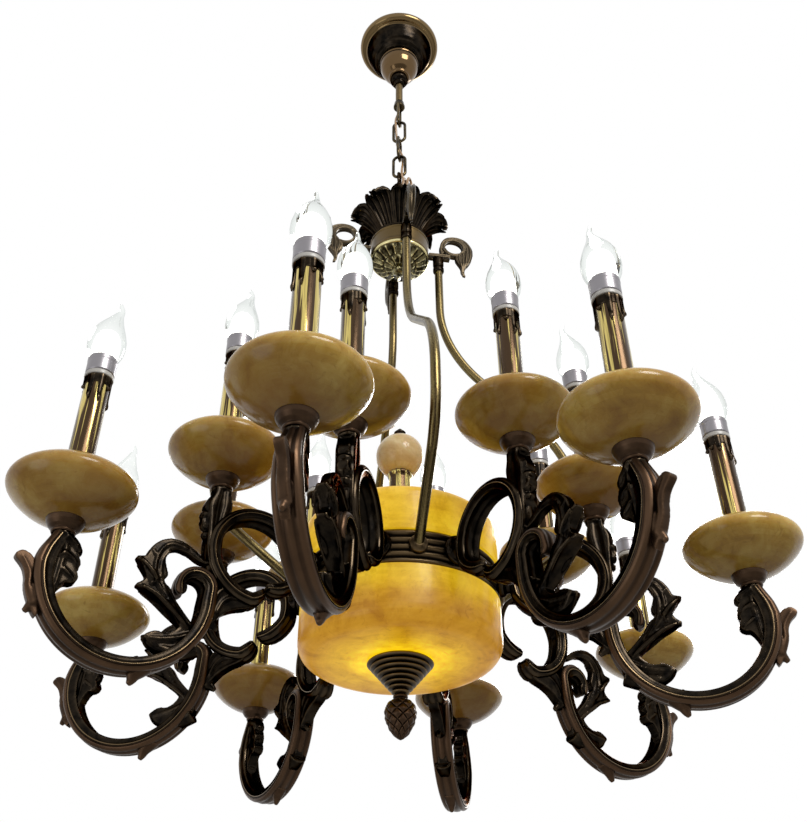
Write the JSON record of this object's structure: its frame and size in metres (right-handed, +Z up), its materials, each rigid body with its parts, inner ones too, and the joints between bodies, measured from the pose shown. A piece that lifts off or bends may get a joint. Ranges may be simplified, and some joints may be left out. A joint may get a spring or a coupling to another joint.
{
  "type": "candle chandelier",
  "caption": "Chain-hung brass chandelier with scrolled candle arms in two tiers, polished stone bowls, flame-shaped bulbs and a lit stone drum.",
  "frame": {"origin": "middle of the ceiling plate's top face, on the rod's axis", "axes": "+Z up along the rod; one arm points along +X; arms follow every 45 degrees anticlockwise seen from above"},
  "size_m": [0.77, 0.77, 1.0818],
  "materials": {
    "antique_brass": "brushed antique brass, lacquered",
    "patinated_brass": "cast brass with a dark brown patina rubbed back on its edges",
    "honey_stone": "polished, cloudy honey-yellow veins",
    "lit_stone": "polished and translucent, lit from inside",
    "bulb_glass": "clear glass with a metal collar",
    "drum_bulb_glass": "frosted",
    "white_thermoplastic": "smooth",
    "plated_steel": "zinc plated",
    "cable_sheath": "gold-brown sheath"
  },
  "bodies": {
    "ceiling_mount": {"ceiling_bracket": "plated_steel", "hanger_rod": "antique_brass", "rod_nuts": "plated_steel", "rod_loop": "antique_brass"},
    "canopy": {"canopy_dish": "antique_brass", "canopy_bell": "antique_brass", "canopy_nut": "antique_brass"},
    "link_1": {"chain_link_1": "antique_brass", "supply_cable": "cable_sheath"},
    "link_2": {"chain_link_2": "antique_brass"},
    "link_3": {"chain_link_3": "antique_brass"},
    "fixture": {"arm_1": "patinated_brass", "arm_2": "patinated_brass", "arm_3": "patinated_brass", "arm_4": "patinated_brass", "arm_5": "patinated_brass", "arm_6": "patinated_brass", "arm_7": "patinated_brass", "arm_8": "patinated_brass", "arm_screws": "plated_steel", "ball_finial": "antique_brass", "ball_tube": "antique_brass", "band_spider": "plated_steel", "bottom_cone": "antique_brass", "bowls": "honey_stone", "candle_tubes": "antique_brass", "centre_stem": "plated_steel", "drip_sleeves": "patinated_brass", "drum_bulbs": "drum_bulb_glass", "drum_lampholders": "white_thermoplastic", "hub_collar": "antique_brass", "hub_crown": "patinated_brass", "hub_rosette": "patinated_brass", "hub_spire": "antique_brass", "lampholders": "white_thermoplastic", "light_cups": "antique_brass", "lower_shade": "lit_stone", "marble_ball": "honey_stone", "ribbed_band": "antique_brass", "support_tubes": "antique_brass", "tube_brackets": "patinated_brass", "upper_shade": "lit_stone"},
    "finial": {"pinecone_finial": "patinated_brass"},
    "bulb_1_body": {"bulb_1": "bulb_glass"},
    "bulb_2_body": {"bulb_2": "bulb_glass"},
    "bulb_3_body": {"bulb_3": "bulb_glass"},
    "bulb_4_body": {"bulb_4": "bulb_glass"},
    "bulb_5_body": {"bulb_5": "bulb_glass"},
    "bulb_6_body": {"bulb_6": "bulb_glass"},
    "bulb_7_body": {"bulb_7": "bulb_glass"},
    "bulb_8_body": {"bulb_8": "bulb_glass"},
    "bulb_9_body": {"bulb_9": "bulb_glass"},
    "bulb_10_body": {"bulb_10": "bulb_glass"},
    "bulb_11_body": {"bulb_11": "bulb_glass"},
    "bulb_12_body": {"bulb_12": "bulb_glass"},
    "bulb_13_body": {"bulb_13": "bulb_glass"},
    "bulb_14_body": {"bulb_14": "bulb_glass"},
    "bulb_15_body": {"bulb_15": "bulb_glass"},
    "bulb_16_body": {"bulb_16": "bulb_glass"}
  },
  "joints": [
    {"name": "canopy_slide", "type": "slide", "parent": "ceiling_mount", "child": "canopy", "axis": [0, 0, -1], "range_m": [0, 0.04]},
    {"name": "link_1_swing", "type": "hinge", "parent": "ceiling_mount", "child": "link_1", "pos_m": [0, 0, -0.1929], "axis": [1, 0, 0], "range_deg": [-30, 30], "deforming": ["supply_cable"]},
    {"name": "link_2_swing", "type": "hinge", "parent": "link_1", "child": "link_2", "pos_m": [0, 0, -0.2309], "axis": [0, 1, 0], "range_deg": [-30, 30]},
    {"name": "link_3_swing", "type": "hinge", "parent": "link_2", "child": "link_3", "pos_m": [0, 0, -0.2689], "axis": [1, 0, 0], "range_deg": [-30, 30]},
    {"name": "fixture_swing", "type": "hinge", "parent": "link_3", "child": "fixture", "pos_m": [0, 0, -0.3069], "axis": [0, 1, 0], "range_deg": [-22, 22]},
    {"name": "finial_turn", "type": "hinge", "parent": "fixture", "child": "finial", "pos_m": [0, 0, -1.04], "axis": [0, 0, 1], "range_deg": [0, 1080]},
    {"name": "bulb_1_turn", "type": "hinge", "parent": "fixture", "child": "bulb_1_body", "pos_m": [0.33, 0, -0.7991], "axis": [0, 0, 1], "range_deg": [0, 1080]},
    {"name": "bulb_2_turn", "type": "hinge", "parent": "fixture", "child": "bulb_2_body", "pos_m": [0.23334, 0.23334, -0.7991], "axis": [0, 0, 1], "range_deg": [0, 1080]},
    {"name": "bulb_3_turn", "type": "hinge", "parent": "fixture", "child": "bulb_3_body", "pos_m": [0, 0.33, -0.7991], "axis": [0, 0, 1], "range_deg": [0, 1080]},
    {"name": "bulb_4_turn", "type": "hinge", "parent": "fixture", "child": "bulb_4_body", "pos_m": [-0.23334, 0.23334, -0.7991], "axis": [0, 0, 1], "range_deg": [0, 1080]},
    {"name": "bulb_5_turn", "type": "hinge", "parent": "fixture", "child": "bulb_5_body", "pos_m": [-0.33, 0, -0.7991], "axis": [0, 0, 1], "range_deg": [0, 1080]},
    {"name": "bulb_6_turn", "type": "hinge", "parent": "fixture", "child": "bulb_6_body", "pos_m": [-0.23334, -0.23334, -0.7991], "axis": [0, 0, 1], "range_deg": [0, 1080]},
    {"name": "bulb_7_turn", "type": "hinge", "parent": "fixture", "child": "bulb_7_body", "pos_m": [0, -0.33, -0.7991], "axis": [0, 0, 1], "range_deg": [0, 1080]},
    {"name": "bulb_8_turn", "type": "hinge", "parent": "fixture", "child": "bulb_8_body", "pos_m": [0.23334, -0.23334, -0.7991], "axis": [0, 0, 1], "range_deg": [0, 1080]},
    {"name": "bulb_9_turn", "type": "hinge", "parent": "fixture", "child": "bulb_9_body", "pos_m": [0.198, 0, -0.7131], "axis": [0, 0, 1], "range_deg": [0, 1080]},
    {"name": "bulb_10_turn", "type": "hinge", "parent": "fixture", "child": "bulb_10_body", "pos_m": [0.14001, 0.14001, -0.7131], "axis": [0, 0, 1], "range_deg": [0, 1080]},
    {"name": "bulb_11_turn", "type": "hinge", "parent": "fixture", "child": "bulb_11_body", "pos_m": [0, 0.198, -0.7131], "axis": [0, 0, 1], "range_deg": [0, 1080]},
    {"name": "bulb_12_turn", "type": "hinge", "parent": "fixture", "child": "bulb_12_body", "pos_m": [-0.14001, 0.14001, -0.7131], "axis": [0, 0, 1], "range_deg": [0, 1080]},
    {"name": "bulb_13_turn", "type": "hinge", "parent": "fixture", "child": "bulb_13_body", "pos_m": [-0.198, 0, -0.7131], "axis": [0, 0, 1], "range_deg": [0, 1080]},
    {"name": "bulb_14_turn", "type": "hinge", "parent": "fixture", "child": "bulb_14_body", "pos_m": [-0.14001, -0.14001, -0.7131], "axis": [0, 0, 1], "range_deg": [0, 1080]},
    {"name": "bulb_15_turn", "type": "hinge", "parent": "fixture", "child": "bulb_15_body", "pos_m": [0, -0.198, -0.7131], "axis": [0, 0, 1], "range_deg": [0, 1080]},
    {"name": "bulb_16_turn", "type": "hinge", "parent": "fixture", "child": "bulb_16_body", "pos_m": [0.14001, -0.14001, -0.7131], "axis": [0, 0, 1], "range_deg": [0, 1080]}
  ]
}
